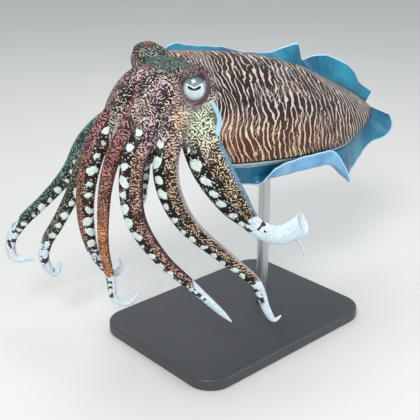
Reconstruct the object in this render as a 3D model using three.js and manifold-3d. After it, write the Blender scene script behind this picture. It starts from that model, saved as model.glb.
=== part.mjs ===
// A male pharaoh cuttlefish in its zebra display, life size in millimetres, on a plain display stand.
// +X runs back along the body, -Y is the animal's left side and +Z is up.
import * as THREE from 'three';
import { mergeVertices } from 'three/addons/utils/BufferGeometryUtils.js';
import Module from 'manifold-3d';

const wasm = await Module();
wasm.setup();

// Gap between touching pieces
const seam = 0.32;

// Mantle: a long shield, widest near its front, with the lobe of the cuttlebone's edge over the head
const mantleLength = 270;
const mantleHalfWidth = 67;
const backHeight = 39;
const bellyDepth = 36;
const rimPlace = -0.05;
const rimWall = 5;
const rimStep = 1;
const recessDepth = 16;
const recessTaper = 0.14;
const mantleFront = [-74, 0, 238];
const tailDroop = 8.5;
const bodyBank = 35;

// Head, which is held nearly level while the mantle banks
const headCentre = [-91, 11, 264];
const headYaw = 3;
const headBank = 8;
const noseDroop = 5;
const eyeRadius = 16;
const eyeTwist = 5;
const eyePlace = { side: 31.5, forward: 0.5, up: 12 };
const browRadius = 19;
const browPlace = { side: 26, forward: -1, up: 9 };
const ballFacets = [14, 8];

// Arms
const armSides = [10, 10, 8];
const tipRadius = 0.7;
const ringSpacing = [13, 13, 7];
const lengthNames = ['base', 'mid', 'tip'];
const lengthEnds = [0, 0.36, 0.7, 1];

// Fins
const finRootThickness = 3.6;
const finEdgeThickness = 1.1;
const finRootDepth = 5;
const finRoll = 0.16;
const finStations = 30;
const finStrips = 6;

// Stand
const baseLength = 230;
const baseWidth = 170;
const baseThickness = 12;
const baseCorner = 26;
const baseBevel = 1.5;
const baseCentre = [-22, -6];
const rodRadius = 6;
const rodSocket = 3;
const rodFacets = 16;
const rodPlace = [14, -10];

const degree = Math.PI / 180;
const vector = (place) => new THREE.Vector3(...place);
const colours = {
  mantle: 0x4a2c26, fin: 0x1f7f9c, head: 0x8a7a66, arm: 0x8c5a38, farArm: 0x4c6a68,
  eye: 0xb8c4c8, funnel: 0xcfd8d8, steel: 0xb9bcbf, base: 0x222426,
};

// Smooth value at t through rows of [place, value, value...], with no overshoot.
function along(rows, t, column = 1) {
  const last = rows.length - 1;
  if (t <= rows[0][0]) return rows[0][column];
  if (t >= rows[last][0]) return rows[last][column];
  let i = 0;
  while (t > rows[i + 1][0]) i += 1;
  const slope = (k) => (rows[k + 1][column] - rows[k][column]) / (rows[k + 1][0] - rows[k][0]);
  const tangent = (k) => {
    if (k === 0 || k === last) return slope(k === 0 ? 0 : last - 1);
    const product = slope(k - 1) * slope(k);
    return product > 0 ? (2 * product) / (slope(k - 1) + slope(k)) : 0;
  };
  const span = rows[i + 1][0] - rows[i][0];
  const u = (t - rows[i][0]) / span;
  const rise = rows[i + 1][column] - rows[i][column];
  const start = tangent(i) * span;
  const end = tangent(i + 1) * span;
  const bend = 3 * rise - 2 * start - end;
  return rows[i][column] + start * u + bend * u ** 2 + (rise - start - bend) * u ** 3;
}

// A closed geometry through rings of equal size. Point i of a ring faces point count-1-i across its width,
// and the ends are strips between such pairs.
function loft(rings) {
  const count = rings[0].length;
  const faces = [];
  for (let r = 0; r + 1 < rings.length; r += 1) {
    for (let i = 0; i < count; i += 1) {
      const a = r * count + i;
      const b = r * count + ((i + 1) % count);
      faces.push(a, b, b + count, a, b + count, a + count);
    }
  }
  const far = (rings.length - 1) * count;
  for (let i = 0; i + 1 < count / 2; i += 1) {
    const [a, b, c, d] = [i, i + 1, count - 2 - i, count - 1 - i];
    faces.push(a, c, b, a, d, c, far + a, far + b, far + c, far + a, far + c, far + d);
  }
  const geometry = new THREE.BufferGeometry();
  geometry.setAttribute('position', new THREE.Float32BufferAttribute(
    rings.flat().flatMap((p) => [p.x, p.y, p.z]), 3));
  geometry.setIndex(faces);
  return geometry;
}

// Turns a geometry into a solid for cutting and joining, and back.
function solidOf(source) {
  const geometry = source.clone();
  geometry.deleteAttribute('normal');
  geometry.deleteAttribute('uv');
  const merged = mergeVertices(geometry, 1e-4);
  return new wasm.Manifold(new wasm.Mesh({
    numProp: 3,
    vertProperties: new Float32Array(merged.attributes.position.array),
    triVerts: new Uint32Array(merged.index.array),
  }));
}

function geometryOf(solid) {
  const pieces = solid.decompose().sort((a, b) => b.volume() - a.volume());
  const mesh = pieces[0].getMesh();
  const geometry = new THREE.BufferGeometry();
  geometry.setAttribute('position', new THREE.BufferAttribute(new Float32Array(mesh.vertProperties), 3));
  geometry.setIndex(new THREE.BufferAttribute(new Uint32Array(mesh.triVerts), 1));
  geometry.computeVertexNormals();
  return geometry;
}

const group = new THREE.Group();

function addNode(name, geometry, colour, roughness = 0.5, metalness = 0) {
  const material = new THREE.MeshStandardMaterial({ color: colour, roughness, metalness });
  const mesh = new THREE.Mesh(geometry, material);
  mesh.name = name;
  group.add(mesh);
  return mesh;
}

// Body frames: x back, y to the animal's right, z up through its back
const mantleFrame = new THREE.Matrix4()
  .makeRotationFromEuler(new THREE.Euler(bodyBank * degree, tailDroop * degree, 0, 'YXZ'))
  .setPosition(vector(mantleFront));
const headFrame = new THREE.Matrix4()
  .makeRotationFromEuler(new THREE.Euler(headBank * degree, -noseDroop * degree, headYaw * degree, 'ZYX'))
  .setPosition(vector(headCentre));

// Share of the mantle's length, then half width, height above the fins and depth below them
const mantleRows = [
  [rimPlace, 0.93, 0.93, 0.88],
  [0.03, 1.0, 0.99, 0.96],
  [0.12, 1.01, 1.0, 1.0],
  [0.3, 1.0, 1.0, 1.0],
  [0.6, 0.88, 0.72, 0.74],
  [0.8, 0.6, 0.38, 0.42],
  [0.92, 0.34, 0.17, 0.2],
  [0.98, 0.14, 0.07, 0.08],
  [1, 0.03, 0.03, 0.03],
];
const mantleStations = [
  1, 0.985, 0.96, 0.92, 0.86, 0.8, 0.72, 0.64, 0.55, 0.45, 0.35, 0.24, 0.14, 0.07, 0.02, rimPlace,
];
const mantleSides = 26;
// How far the rim stands back of its plane, by degrees round the body from its right side over the back
const rimRows = [
  [0, 0], [40, -14], [65, -17], [92, -8], [106, 0], [122, 1], [145, -7], [180, 0], [270, 12], [360, 0],
];
const mantleRoundness = 2.3;
const rimEase = 3;

function mantlePoint(t, turn, grow, scale = 1) {
  const round = (value) => Math.sign(value) * Math.abs(value) ** (2 / mantleRoundness);
  const side = Math.cos(turn);
  const up = Math.sin(turn);
  const height = up > 0 ? backHeight * along(mantleRows, t, 2) : bellyDepth * along(mantleRows, t, 3);
  const lobe = along(rimRows, turn / degree);
  return new THREE.Vector3(
    mantleLength * t + lobe * ((1 - t) / (1 - rimPlace)) ** rimEase + (t > 0.5 ? grow : -grow),
    (mantleHalfWidth * along(mantleRows, t) * scale + grow) * round(side),
    (height * scale + grow) * round(up),
  );
}

function mantleRing(t, grow, scale, shift = 0) {
  return Array.from({ length: mantleSides }, (_, i) => {
    const point = mantlePoint(t, ((i + 0.5) * 2 * Math.PI) / mantleSides, grow, scale);
    return point.setX(point.x + shift);
  });
}

// The mantle's front is a rim round a shallow recess that holds the neck.
function mantleGeometry(grow = 0, hollow = true) {
  const rings = mantleStations.map((t) => mantleRing(t, grow, 1)).reverse();
  const wall = 1 - rimWall / mantleHalfWidth;
  if (hollow) {
    rings.unshift(mantleRing(rimPlace, -grow, wall, rimStep - 2 * grow));
    rings.unshift(mantleRing(rimPlace, -grow, wall - recessTaper, recessDepth - 2 * grow));
  }
  return loft(rings).applyMatrix4(mantleFrame);
}

// Neck to crown: place forward, aside and up of the head's centre, tilt and twist of the section in degrees,
// half width and half height. The twist carries the banked mantle's neck round to the level head.
const headRows = [
  [-48, -10, -26, -10, 30, 48, 27],
  [-28, -11, -20, -4, 28, 52, 31],
  [-11, -9, -14, 4, 20, 48, 36],
  [5, -6, -9, 14, 11, 42, 38],
  [19, -3, -11, 26, 5, 38, 37],
  [33, 0, -19, 40, 0, 36, 33],
  [44, 0, -34, 54, 0, 33, 29],
  [51, 0, -50, 64, 0, 27, 24],
  [55, 0, -62, 68, 0, 17, 15],
];
const headSides = 20;

function headGeometry(grow = 0) {
  const rings = headRows.map(([forward, aside, up, tilt, twist, halfWidth, halfHeight], row) => {
    const end = row === headRows.length - 1 ? grow : row === 0 ? -grow : 0;
    const section = new THREE.Matrix4()
      .makeRotationFromEuler(new THREE.Euler(twist * degree, -tilt * degree, 0, 'YXZ'))
      .setPosition(-forward, aside, up);
    return Array.from({ length: headSides }, (_, i) => {
      const turn = ((i + 0.5) * 2 * Math.PI) / headSides;
      const side = -(halfWidth + grow) * Math.cos(turn);
      return new THREE.Vector3(-end, side, (halfHeight + grow) * Math.sin(turn)).applyMatrix4(section);
    });
  });
  return loft(rings).applyMatrix4(headFrame);
}

// The eyes and their brows share the neck's twist a little.
function headBall(radius, place, side) {
  const centre = new THREE.Vector3(-place.forward, side * place.side, place.up)
    .applyAxisAngle(new THREE.Vector3(1, 0, 0), eyeTwist * degree)
    .applyMatrix4(headFrame);
  return new THREE.SphereGeometry(radius, ...ballFacets).translate(centre.x, centre.y, centre.z);
}

// The funnel points forward and down under the head: distance forward of the rim, height, radius
const funnelRows = [
  [-10, -17, 19],
  [8, -22, 17],
  [26, -28, 13],
  [42, -34, 9],
  [52, -38, 7.5],
];
const funnelSides = 16;
const funnelFlatness = 0.8;

function funnelGeometry(grow = 0) {
  const rings = funnelRows.map(([forward, up, radius], row) => {
    const end = row === funnelRows.length - 1 ? grow : 0;
    return Array.from({ length: funnelSides }, (_, i) => {
      const turn = ((i + 0.5) * 2 * Math.PI) / funnelSides;
      return new THREE.Vector3(
        -forward - end,
        -(radius + grow) * Math.cos(turn),
        up + (radius + grow) * funnelFlatness * Math.sin(turn),
      );
    });
  });
  return loft(rings).applyMatrix4(mantleFrame);
}

// Each arm: its route from the crown to the tip, the way its outer face looks, and rows of share of length,
// half width, half thickness and how far its edges curl inwards
const nearFace = [-0.67, -0.74, 0];
const frontFace = [-0.93, -0.37, 0];
const plainArm = (root, upper, middle, end) => [
  [0, root, root * 0.8, 0],
  [0.3, upper, upper * 0.64, 0],
  [0.6, middle, middle * 0.6, 0],
  [0.85, end, end * 0.7, 0],
  [0.94, end * 0.75, end * 0.55, 0],
  [1, tipRadius, tipRadius, 0],
];
const arms = {
  left_1: {
    route: [[-112, -8, 268], [-140, -6, 252], [-159, 1, 223], [-167, 9, 191], [-169, 15, 153],
      [-167, 19, 120], [-161, 19, 86], [-158, 19, 66], [-148, 13, 60], [-138, 6, 71]],
    face: nearFace,
    rows: plainArm(8.5, 6.9, 5.2, 4),
  },
  right_1: {
    route: [[-112, 18, 266], [-139, 22, 250], [-158, 26, 228], [-172, 31, 190], [-174, 36, 155],
      [-168, 39, 118], [-157, 39, 93], [-145, 36, 82], [-137, 35, 88], [-137, 38, 95]],
    face: frontFace,
    rows: plainArm(10.5, 10.2, 8.6, 4.4),
  },
  left_2: {
    route: [[-112, -14, 256], [-138, -18, 240], [-155, -18, 218], [-161, -18, 190], [-158, -20, 158],
      [-139, -30, 119], [-118, -44, 92], [-84, -65, 48]],
    face: nearFace,
    rows: plainArm(11, 10.6, 7.4, 4.2),
  },
  right_2: {
    route: [[-112, 22, 252], [-134, 46, 230], [-147, 63, 200], [-162, 76, 156], [-174, 85, 129],
      [-184, 94, 106], [-185, 98, 86], [-177, 94, 72], [-171, 90, 84]],
    face: frontFace,
    rows: plainArm(10.5, 10.2, 7, 5.6),
  },
  left_3: {
    route: [[-104, -16, 250], [-122, -28, 236], [-133, -32, 214], [-134, -36, 187], [-121, -44, 153],
      [-89, -63, 115], [-65, -77, 87], [-52, -81, 54], [-45, -84, 43], [-39, -87, 47]],
    face: nearFace,
    rows: plainArm(13, 10.8, 7.2, 4.6),
  },
  right_3: {
    route: [[-102, 26, 246], [-121, 62, 228], [-134, 88, 202], [-146, 104, 169], [-165, 120, 141],
      [-185, 133, 119], [-196, 143, 97], [-195, 142, 79], [-179, 127, 76]],
    face: frontFace,
    rows: plainArm(10.5, 10.2, 6.8, 5.6),
  },
  left_4: {
    route: [[-92, -26, 238], [-104, -50, 216], [-100, -66, 191], [-85, -76, 164], [-69, -85, 145],
      [-52, -94, 138], [-36, -99, 142], [-24, -103, 148]],
    face: nearFace,
    rows: [[0, 18, 13, 0], [0.25, 17.5, 8.5, 0], [0.5, 14, 5, 0.1], [0.66, 8.5, 3.4, 0.3],
      [0.8, 10, 1.6, 0.7], [1, 11, 0.8, 0.9]],
  },
  right_4: {
    route: [[-92, 30, 238], [-96, 46, 214], [-95, 58, 186], [-92, 64, 158], [-86, 72, 134],
      [-76, 84, 122], [-64, 94, 122], [-56, 99, 128]],
    face: nearFace,
    rows: [[0, 13, 10, 0], [0.25, 14, 7, 0], [0.5, 12, 5, 0.1], [0.7, 8, 3.4, 0.3], [0.85, 6, 1.8, 0.6],
      [1, 3, 0.8, 0.8]],
  },
};
const curlFilament = {
  route: [[-46, -95, 134], [-37, -99, 132], [-31, -101, 124], [-26, -101, 112]],
  radius: 2.4,
};

const curveThrough = (route) => new THREE.CatmullRomCurve3(route.map(vector), false, 'centripetal');

// One length of an arm, from one share of its route to another.
function armGeometry(arm, from, to, spacing, sides, grow = 0) {
  const curve = curveThrough(arm.route);
  const length = curve.getLength();
  const start = from + (from > 0 ? seam / 2 - grow : -grow) / length;
  const end = to - (to < 1 ? seam / 2 - grow : -grow) / length;
  const steps = Math.max(4, Math.round(((end - start) * length) / spacing));
  const rings = Array.from({ length: steps + 1 }, (_, step) => {
    const t = start + ((end - start) * step) / steps;
    const centre = curve.getPointAt(Math.min(Math.max(t, 0), 1));
    const forward = curve.getTangentAt(Math.min(Math.max(t, 0), 1));
    const outward = vector(arm.face);
    outward.addScaledVector(forward, -outward.dot(forward)).normalize();
    const across = new THREE.Vector3().crossVectors(outward, forward);
    const halfWidth = along(arm.rows, t, 1) + grow;
    const halfThickness = along(arm.rows, t, 2) + grow;
    const curl = along(arm.rows, t, 3);
    return Array.from({ length: sides }, (_, i) => {
      const turn = ((i + 0.5) * 2 * Math.PI) / sides;
      const side = halfWidth * Math.cos(turn);
      const rise = halfThickness * Math.sin(turn) - curl * halfWidth * Math.cos(turn) ** 2;
      return centre.clone().addScaledVector(across, side).addScaledVector(outward, rise);
    });
  });
  return loft(rings);
}

// Fin: share of the mantle's length, width, lift of its root in radians, how far it rolls over, and where
// in its width the roll is
const nearFinRows = [
  [-0.02, 5, -1, 0, 0.6],
  [0.05, 17, -1, 0, 0.6],
  [0.11, 19, -1.1, 0, 0.7],
  [0.14, 20, -1.1, 0.3, 0.7],
  [0.17, 24, -1.05, 2.2, 0.68],
  [0.21, 29, -1.05, 2.8, 0.58],
  [0.27, 31, -1.05, 2.95, 0.53],
  [0.37, 29, -0.95, 3, 0.5],
  [0.44, 28, -0.8, 2.9, 0.5],
  [0.53, 29, -0.75, 2.9, 0.5],
  [0.57, 33, -0.75, 2.9, 0.6],
  [0.592, 38, -0.7, 2.8, 0.74],
  [0.606, 38, -0.6, 1.6, 0.84],
  [0.62, 35, -0.6, 0, 0.85],
  [0.66, 34, -0.7, 0, 0.85],
  [0.75, 33, -0.87, 0, 0.85],
  [0.86, 29, -0.9, 0, 0.85],
  [0.915, 26, -0.7, 0, 0.85],
  [0.945, 32, -0.25, 0, 0.85],
  [0.965, 33, -0.1, 0, 0.85],
  [0.985, 26, 0.05, 0, 0.85],
];
const farFinRows = [
  [-0.02, 5, 0.3, 0, 0.5],
  [0.1, 20, 0.2, 0, 0.5],
  [0.18, 23, 0, 0, 0.5],
  [0.36, 25, -0.05, 0, 0.5],
  [0.46, 28, -0.2, 0, 0.5],
  [0.6, 28, -0.1, 0, 0.5],
  [0.66, 30, 0.26, 0, 0.5],
  [0.7, 33, 0.5, 0, 0.5],
  [0.755, 28, 0, 0, 0.5],
  [0.79, 30, 0.32, 0, 0.5],
  [0.84, 33, 0.45, 0, 0.5],
  [0.9, 33, 0.43, 0, 0.5],
  [0.93, 30, 0.32, 0, 0.5],
  [0.955, 27, 0.08, 0, 0.5],
  [0.985, 20, 0.2, 0, 0.5],
];
const finSweepRows = [[0, 0.08], [0.5, 0.15], [0.8, 0.25], [0.9, 0.5], [0.95, 0.8], [1, 1.1]];

function finGeometry(rows, side) {
  const from = rows[0][0];
  const to = rows[rows.length - 1][0];
  const rings = Array.from({ length: finStations + 1 }, (_, station) => {
    const t = from + ((to - from) * station) / finStations;
    const sweep = along(finSweepRows, t);
    const width = along(rows, t, 1) + finRootDepth;
    const lift = along(rows, t, 2);
    const curl = along(rows, t, 3);
    const fold = along(rows, t, 4);
    const { smoothstep } = THREE.MathUtils;
    const angleAt = (share) => lift + curl * smoothstep(share, fold - finRoll, fold + finRoll);
    const rootSide = mantleHalfWidth * along(mantleRows, t) - finRootDepth;
    const point = new THREE.Vector3(mantleLength * t, side * rootSide, 0);
    const top = [];
    const bottom = [];
    for (let strip = 0; strip <= finStrips; strip += 1) {
      const share = strip / finStrips;
      const angle = angleAt(share);
      const thickness = finRootThickness + (finEdgeThickness - finRootThickness) * Math.sqrt(share);
      const normal = new THREE.Vector3(
        -Math.sin(angle) * Math.sin(sweep), -Math.sin(angle) * Math.cos(sweep) * side, Math.cos(angle));
      top.push(point.clone().addScaledVector(normal, thickness / 2));
      bottom.unshift(point.clone().addScaledVector(normal, -thickness / 2));
      const step = width / finStrips;
      const middle = angleAt(share + 0.5 / finStrips);
      point.x += step * Math.cos(middle) * Math.sin(sweep);
      point.y += step * Math.cos(middle) * Math.cos(sweep) * side;
      point.z += step * Math.sin(middle);
    }
    const ring = [...top, ...bottom];
    return side > 0 ? ring.reverse() : ring;
  });
  return loft(rings).applyMatrix4(mantleFrame);
}

function roundedBase() {
  const shape = new THREE.Shape();
  const [x, y] = [baseLength / 2 - baseBevel, baseWidth / 2 - baseBevel];
  const corners = [[x, y, 0], [-x, y, 1], [-x, -y, 2], [x, -y, 3]];
  corners.forEach(([cornerX, cornerY, quarter]) => {
    const centreX = cornerX - Math.sign(cornerX) * baseCorner;
    const centreY = cornerY - Math.sign(cornerY) * baseCorner;
    shape.absarc(centreX, centreY, baseCorner, (quarter * Math.PI) / 2, ((quarter + 1) * Math.PI) / 2, false);
  });
  return new THREE.ExtrudeGeometry(shape, {
    depth: baseThickness - 2 * baseBevel,
    bevelEnabled: true,
    bevelThickness: baseBevel,
    bevelSize: baseBevel,
    bevelSegments: 1,
    curveSegments: 4,
  }).translate(baseCentre[0], baseCentre[1], baseBevel);
}

function rodGeometry(radius, bottom, top) {
  return new THREE.CylinderGeometry(radius, radius, top - bottom, rodFacets)
    .rotateX(Math.PI / 2)
    .translate(rodPlace[0], rodPlace[1], (top + bottom) / 2);
}

const mantleGrown = solidOf(mantleGeometry(seam)).add(solidOf(mantleGeometry(seam, false)));
const eyes = [-1, 1].map((side) => ({
  name: side < 0 ? 'eye_left' : 'eye_right',
  ball: (grow) => solidOf(headBall(eyeRadius + grow, eyePlace, side)),
  brow: (grow) => solidOf(headBall(browRadius + grow, browPlace, side)),
}));

function headSolid(grow) {
  return eyes.reduce((solid, eye) => solid.add(eye.brow(grow)), solidOf(headGeometry(grow)));
}

const headGrown = eyes.reduce((solid, eye) => solid.add(eye.ball(seam)), headSolid(seam));
const funnelGrown = solidOf(funnelGeometry(seam));

const head = eyes.reduce((solid, eye) => solid.subtract(eye.ball(seam)), headSolid(0));
addNode('head', geometryOf(head), colours.head);
eyes.forEach((eye) => addNode(eye.name, geometryOf(eye.ball(0)), colours.eye, 0.15));

const mantle = solidOf(mantleGeometry()).subtract(headGrown).subtract(funnelGrown);
const funnel = solidOf(funnelGeometry()).subtract(headGrown);
addNode('funnel', geometryOf(funnel), colours.funnel);

const placedArms = [];
Object.entries(arms).forEach(([name, arm]) => {
  lengthNames.forEach((lengthName, i) => {
    const [from, to] = [lengthEnds[i], lengthEnds[i + 1]];
    let piece = solidOf(armGeometry(arm, from, to, ringSpacing[i], armSides[i]));
    if (name === 'left_4' && lengthName === 'tip') {
      const filament = { ...curlFilament, face: arm.face };
      filament.rows = [[0, curlFilament.radius, curlFilament.radius, 0], [1, tipRadius, tipRadius, 0]];
      piece = piece.add(solidOf(armGeometry(filament, 0, 1, ringSpacing[i], armSides[i])));
    }
    [headGrown, mantleGrown, funnelGrown, ...placedArms].forEach((other) => {
      piece = piece.subtract(other);
    });
    const colour = arm.face === frontFace ? colours.farArm : colours.arm;
    addNode(`arm_${name}_${lengthName}`, geometryOf(piece), colour);
  });
  lengthNames.forEach((_, i) => placedArms.push(
    solidOf(armGeometry(arm, lengthEnds[i], lengthEnds[i + 1], ringSpacing[i], armSides[i], seam))));
});

const fins = { fin_left: [nearFinRows, -1], fin_right: [farFinRows, 1] };
Object.entries(fins).forEach(([name, [rows, side]]) => {
  const fin = solidOf(finGeometry(rows, side)).subtract(mantleGrown).subtract(headGrown);
  addNode(name, geometryOf(fin), colours.fin, 0.4);
});

// The rod stands in a socket in the base and meets the belly.
const rodBottom = baseThickness - rodSocket;
const rod = solidOf(rodGeometry(rodRadius, rodBottom, mantleFront[2])).subtract(mantleGrown);
const socket = solidOf(rodGeometry(rodRadius + seam, rodBottom - seam, 2 * baseThickness));
addNode('mantle', geometryOf(mantle), colours.mantle);
addNode('stand_rod', geometryOf(rod), colours.steel, 0.3, 1);
addNode('stand_base', geometryOf(solidOf(roundedBase()).subtract(socket)), colours.base, 0.4);

// The origin is at the middle of the footprint, at the base's underside.
const box = new THREE.Box3().setFromObject(group);
group.position.set(-(box.min.x + box.max.x) / 2, -(box.min.y + box.max.y) / 2, -box.min.z);

export default group;
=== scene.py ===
import math

import bmesh
import bpy
import numpy as np
from mathutils import Matrix, Vector


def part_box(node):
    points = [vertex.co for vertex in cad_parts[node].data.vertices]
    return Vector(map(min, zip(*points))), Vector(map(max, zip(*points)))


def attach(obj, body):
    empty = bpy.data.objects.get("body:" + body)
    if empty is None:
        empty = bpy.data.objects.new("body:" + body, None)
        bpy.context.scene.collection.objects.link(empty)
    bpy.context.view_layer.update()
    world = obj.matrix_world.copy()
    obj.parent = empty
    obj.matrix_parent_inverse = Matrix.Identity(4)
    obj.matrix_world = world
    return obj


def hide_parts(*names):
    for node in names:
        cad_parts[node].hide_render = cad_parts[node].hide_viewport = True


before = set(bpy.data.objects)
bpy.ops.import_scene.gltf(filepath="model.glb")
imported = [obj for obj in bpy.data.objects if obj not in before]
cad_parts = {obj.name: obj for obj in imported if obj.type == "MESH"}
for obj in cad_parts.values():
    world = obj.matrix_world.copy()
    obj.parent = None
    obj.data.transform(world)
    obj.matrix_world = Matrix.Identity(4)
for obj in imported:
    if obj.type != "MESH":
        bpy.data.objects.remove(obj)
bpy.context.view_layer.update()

mm = 0.001
scene = bpy.context.scene

# The shapes are drawn in the part's own millimetre frame, whose origin is fixed by the stand's base.
stand = {
    "baseMiddle": (-22, -6), "length": 230, "width": 170, "thickness": 12, "corner": 26, "bevel": 2.2,
    "rodPlace": (14, -10), "rodRadius": 6, "rodBottom": 9, "rodTop": 204,
}
baseLow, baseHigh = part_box("stand_base")
shift = np.array([(baseLow.x + baseHigh.x) / 2 - stand["baseMiddle"][0] * mm,
                  (baseLow.y + baseHigh.y) / 2 - stand["baseMiddle"][1] * mm, 0])


def toFrame(points):
    return np.asarray(points, float) * mm + shift


def spin(axis, degrees):
    return np.array(Matrix.Rotation(math.radians(degrees), 3, axis))


def unit(vectors):
    vectors = np.asarray(vectors, float)
    return vectors / np.maximum(np.linalg.norm(vectors, axis=-1, keepdims=True), 1e-9)


def ramp(low, high, value):  # smooth step
    x = np.clip((np.asarray(value, float) - low) / (high - low), 0, 1)
    return x * x * (3 - 2 * x)


def valuesAlong(rows, t):  # smooth values at t through rows of (place, value, value...), with no overshoot
    table = np.array(rows, float)
    place, value = table[:, 0], table[:, 1:]
    slope = np.diff(value, axis=0) / np.diff(place)[:, None]
    tangent = np.zeros_like(value)
    tangent[0], tangent[-1] = slope[0], slope[-1]
    product, total = slope[:-1] * slope[1:], slope[:-1] + slope[1:]
    tangent[1:-1] = np.where(product > 0, 2 * product / np.where(total == 0, 1, total), 0)
    t = np.clip(np.atleast_1d(np.asarray(t, float)), place[0], place[-1])
    i = np.clip(np.searchsorted(place, t, side="right") - 1, 0, len(place) - 2)
    span = (place[i + 1] - place[i])[:, None]
    u = (t - place[i])[:, None] / span
    rise = value[i + 1] - value[i]
    start, end = tangent[i] * span, tangent[i + 1] * span
    bend = 3 * rise - 2 * start - end
    return value[i] + start * u + bend * u**2 + (rise - start - bend) * u**3


def paint(colour):  # a screen colour, made linear
    share = np.array(colour) / 255
    return np.where(share < 0.0404, share / 12.92, ((share + 0.055) / 1.055) ** 2.4)


# Meshes

def only(parts, kind):
    return [part for part in parts if isinstance(part, kind)]


def pointsOf(bm):
    return np.array([vert.co[:] for vert in bm.verts])


def moveTo(bm, points):
    for vert, point in zip(bm.verts, points):
        vert.co = point


def faceOut(bm):
    bmesh.ops.recalc_face_normals(bm, faces=bm.faces)


def tube(sides, steps):  # a straight closed tube: unit circles one apart along Z
    bm = bmesh.new()
    bmesh.ops.create_circle(bm, segments=sides, radius=1)
    edges = bm.edges[:]
    bmesh.ops.contextual_create(bm, geom=edges)
    for _ in range(steps):
        grown = bmesh.ops.extrude_edge_only(bm, edges=edges)["geom"]
        ring = set(only(grown, bmesh.types.BMVert))
        edges = [edge for edge in only(grown, bmesh.types.BMEdge) if set(edge.verts) <= ring]
        bmesh.ops.translate(bm, verts=list(ring), vec=(0, 0, 1))
    bmesh.ops.contextual_create(bm, geom=edges)
    return bm


def bend(bm, place):  # moves a straight tube's points to place(step, turn)
    points = pointsOf(bm)
    step, turn = points[:, 2], np.arctan2(points[:, 1], points[:, 0]) % (2 * math.pi)
    moveTo(bm, place(step, turn))
    faceOut(bm)
    return step, turn


def addObject(name, data):
    obj = bpy.data.objects.new(name, data)
    scene.collection.objects.link(obj)
    return obj


def meshObject(name, bm, material):  # from millimetres to the frame's metres
    mesh = bpy.data.meshes.new(name)
    bm.to_mesh(mesh)
    bm.free()
    setPoints(mesh, toFrame(getPoints(mesh)))
    coat(mesh, material)
    return addObject(name, mesh)


def coat(mesh, material):
    mesh.materials.append(bpy.data.materials[material])
    mesh.polygons.foreach_set("use_smooth", [True] * len(mesh.polygons))


def getPoints(mesh):
    points = np.empty(len(mesh.vertices) * 3)
    mesh.vertices.foreach_get("co", points)
    return points.reshape(-1, 3)


def setPoints(mesh, points):
    mesh.vertices.foreach_set("co", np.asarray(points, np.float32).ravel())
    mesh.update()


def note(mesh, name, values):  # a point attribute for the materials: number, vector or colour
    values = np.asarray(values, np.float32)
    kind, key = {1: ("FLOAT", "value"), 2: ("FLOAT_VECTOR", "vector")}[values.ndim]
    if values.ndim == 2 and name.endswith("Colour"):
        kind, key = "FLOAT_COLOR", "color"
        values = np.hstack([values, np.ones((len(values), 1), np.float32)])
    attribute = mesh.attributes.get(name) or mesh.attributes.new(name, kind, "POINT")
    attribute.data.foreach_set(key, values.ravel())


# Mantle

mantle = {
    "front": (-74, 0, 238), "droop": 8.5, "bank": 35, "length": 270, "halfWidth": 67,
    "back": 39, "belly": 36,
    "rim": -0.05, "rimEase": 3, "roundness": 2.3, "inset": 0.4, "sides": 96, "steps": 96,
    "crowding": 1.3, "widest": 0.3,
    # share of length, then half width, height above the fins and depth below them
    "rows": [(-0.05, 0.93, 0.93, 0.88), (0.03, 1.0, 0.99, 0.96), (0.12, 1.01, 1.0, 1.0),
             (0.3, 1.0, 1.0, 1.0), (0.6, 0.88, 0.72, 0.74), (0.8, 0.6, 0.38, 0.42), (0.92, 0.34, 0.17, 0.2),
             (0.98, 0.14, 0.07, 0.08), (1, 0.03, 0.03, 0.03)],
    # how far the rim stands back, by degrees round the body from its right side over the back
    "rimRows": [(0, 0), (40, -14), (65, -17), (92, -8), (106, 0), (122, 1), (145, -7), (180, 0), (270, 12),
                (360, 0)],
    # the rim's lip, from deep inside out: millimetres back of the rim and scale
    "lipRows": [(30, 0.78), (16, 0.86), (6, 0.915), (2, 0.93), (0.3, 0.943), (-0.5, 0.962), (-0.4, 0.985)],
    # zebra lines: share of length and the distance from line to line, and their scale round the body
    "lineRows": [(-0.05, 3.2), (0.02, 4.2), (0.05, 5.8), (0.15, 7.4), (0.4, 7.7), (0.6, 7.7), (0.75, 7.2),
                 (0.88, 6.6), (1, 5.6)],
    "roundScale": 7.4,
    # how far back the lines slant, by degrees round the body from its right side over the back
    "slantRows": [(0, 30), (40, 30), (60, 28), (75, 22), (90, 13), (105, 5), (120, -3), (140, -9),
                  (160, -8), (180, 0), (270, 0), (360, 30)],
}
mantleTurn = spin("Y", mantle["droop"]) @ spin("X", mantle["bank"])
mantleFront = np.array(mantle["front"], float)


def mantlePoints(t, turn, scale=1.0, back=0.0):  # in the mantle's own frame
    def rounded(value):
        return np.sign(value) * np.abs(value) ** (2 / mantle["roundness"])

    widths = valuesAlong(mantle["rows"], t)
    up = np.sin(turn)
    height = np.where(up > 0, mantle["back"] * widths[:, 1], mantle["belly"] * widths[:, 2])
    lobe = valuesAlong(mantle["rimRows"], np.degrees(turn))[:, 0]
    ease = ((1 - t) / (1 - mantle["rim"])) ** mantle["rimEase"]
    return np.stack([mantle["length"] * t + lobe * ease + back,
                     (mantle["halfWidth"] * widths[:, 0] * scale - mantle["inset"]) * rounded(np.cos(turn)),
                     (height * scale - mantle["inset"]) * rounded(up)], axis=1)


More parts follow.
